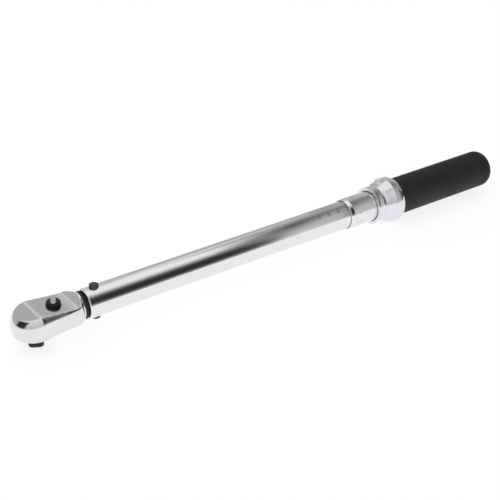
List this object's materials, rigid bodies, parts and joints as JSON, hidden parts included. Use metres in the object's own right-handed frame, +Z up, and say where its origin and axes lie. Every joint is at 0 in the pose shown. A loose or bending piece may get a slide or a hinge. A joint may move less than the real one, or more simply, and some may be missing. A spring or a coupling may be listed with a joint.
{
  "type": "click torque wrench",
  "caption": "Micrometer click torque wrench with a reversible ratchet head, square drive, chrome tube with scale, pull-down lock ring and plastic grip.",
  "frame": {"origin": "centre of the end face of the square drive", "axes": "+X along the tube from the drive towards the grip, +Z up along the drive axis towards the reversing lever"},
  "size_m": [0.3938, 0.0332, 0.0333],
  "materials": {
    "chrome": "bright nickel-chrome plate",
    "lever_steel": "satin chrome",
    "black_steel": "black oxide",
    "plain_steel": "turned and oiled",
    "spring_steel": "oil-tempered wire",
    "brass": "machined",
    "black_rubber": "matt",
    "black_plastic": "fine moulded texture"
  },
  "bodies": {
    "tube": {"tube": "chrome", "pivot_pin": "black_steel", "thread_bush": "brass", "bush_pin_top": "plain_steel", "bush_pin_bottom": "plain_steel"},
    "head": {"head_body": "chrome", "neck_ring": "black_rubber", "gear_washer": "plain_steel", "gear_circlip": "black_steel", "lever_clip": "spring_steel", "detent_ball": "plain_steel", "detent_spring": "spring_steel"},
    "drive": {"gear_drive": "black_steel", "drive_ball_spring": "spring_steel"},
    "drive_ball": {"drive_ball": "plain_steel"},
    "lever": {"reversing_lever": "lever_steel"},
    "pawl": {"pawl": "black_steel"},
    "plunger": {"plunger": "plain_steel", "main_spring": "spring_steel"},
    "tilt_block": {"tilt_block": "plain_steel"},
    "carriage": {"spring_seat": "plain_steel", "thrust_ball": "plain_steel"},
    "handle": {"thimble": "chrome", "adjusting_screw": "plain_steel", "handle_plug": "plain_steel", "plug_screw_top": "black_steel", "plug_screw_bottom": "black_steel", "screw_washer": "plain_steel", "lock_nut": "plain_steel", "lock_stop_ring": "spring_steel", "lock_spring": "spring_steel", "grip_sleeve": "black_plastic", "grip_rear": "black_plastic", "end_cap": "black_plastic"},
    "lock_ring": {"lock_ring": "chrome"},
    "lock_ball_a": {"lock_ball_a": "plain_steel"},
    "lock_ball_b": {"lock_ball_b": "plain_steel"},
    "lock_ball_c": {"lock_ball_c": "plain_steel"}
  },
  "joints": [
    {"name": "click_pivot", "type": "hinge", "parent": "tube", "child": "head", "pos_m": [0.0414, 0, 0.0167], "axis": [0, 0, 1], "range_deg": [0, 2.5], "stiffness_Nm_per_rad": 60, "springref_deg": -2.86},
    {"name": "plunger_slide", "type": "slide", "parent": "tube", "child": "plunger", "axis": [1, 0, 0], "range_m": [0, 0.0015], "deforming": ["main_spring"]},
    {"name": "block_tilt", "type": "hinge", "parent": "plunger", "child": "tilt_block", "pos_m": [0.0874, 0, 0.0167], "axis": [0, 0, 1], "range_deg": [-14, 0]},
    {"name": "drive_spin", "type": "hinge", "parent": "head", "child": "drive", "pos_m": [0, 0, 0], "axis": [0, 0, 1], "continuous": true},
    {"name": "ball_press", "type": "slide", "parent": "drive", "child": "drive_ball", "axis": [0.8829, -0.4695, 0], "range_m": [0, 0.0008], "stiffness_N_per_m": 1500, "springref_m": -0.001, "deforming": ["drive_ball_spring"]},
    {"name": "lever_turn", "type": "hinge", "parent": "head", "child": "lever", "pos_m": [0.0135, 0, 0.0167], "axis": [0, 0, 1], "range_deg": [-128, 0]},
    {"name": "pawl_rock", "type": "hinge", "parent": "head", "child": "pawl", "pos_m": [0.0135, 0, 0.0167], "axis": [0, 0, 1], "range_deg": [-6, 0]},
    {"name": "adjust_travel", "type": "slide", "parent": "tube", "child": "carriage", "axis": [-1, 0, 0], "range_m": [0, 0.028], "deforming": ["main_spring"]},
    {"name": "grip_turn", "type": "hinge", "parent": "carriage", "child": "handle", "pos_m": [0.3, 0, 0.0167], "axis": [-1, 0, 0], "range_deg": [0, 5040]},
    {"name": "lock_slide", "type": "slide", "parent": "handle", "child": "lock_ring", "axis": [1, 0, 0], "range_m": [0, 0.0034], "stiffness_N_per_m": 1200, "springref_m": -0.003, "deforming": ["lock_spring"]},
    {"name": "ball_a_lift", "type": "slide", "parent": "handle", "child": "lock_ball_a", "axis": [0, 0, 1], "range_m": [0, 0.0006]},
    {"name": "ball_b_lift", "type": "slide", "parent": "handle", "child": "lock_ball_b", "axis": [0, -0.866, -0.5], "range_m": [0, 0.0006]},
    {"name": "ball_c_lift", "type": "slide", "parent": "handle", "child": "lock_ball_c", "axis": [0, 0.866, -0.5], "range_m": [0, 0.0006]}
  ],
  "couplings": [
    {"joint": "plunger_slide", "follows": "click_pivot", "m_per_rad": 0.032},
    {"joint": "block_tilt", "follows": "click_pivot", "ratio": -5.2},
    {"joint": "pawl_rock", "follows": "lever_turn", "ratio": 0.0468},
    {"joint": "adjust_travel", "follows": "grip_turn", "m_per_rad": 0.00031831},
    {"joint": "ball_a_lift", "follows": "lock_slide", "ratio": 0.155},
    {"joint": "ball_b_lift", "follows": "lock_slide", "ratio": 0.155},
    {"joint": "ball_c_lift", "follows": "lock_slide", "ratio": 0.155}
  ]
}
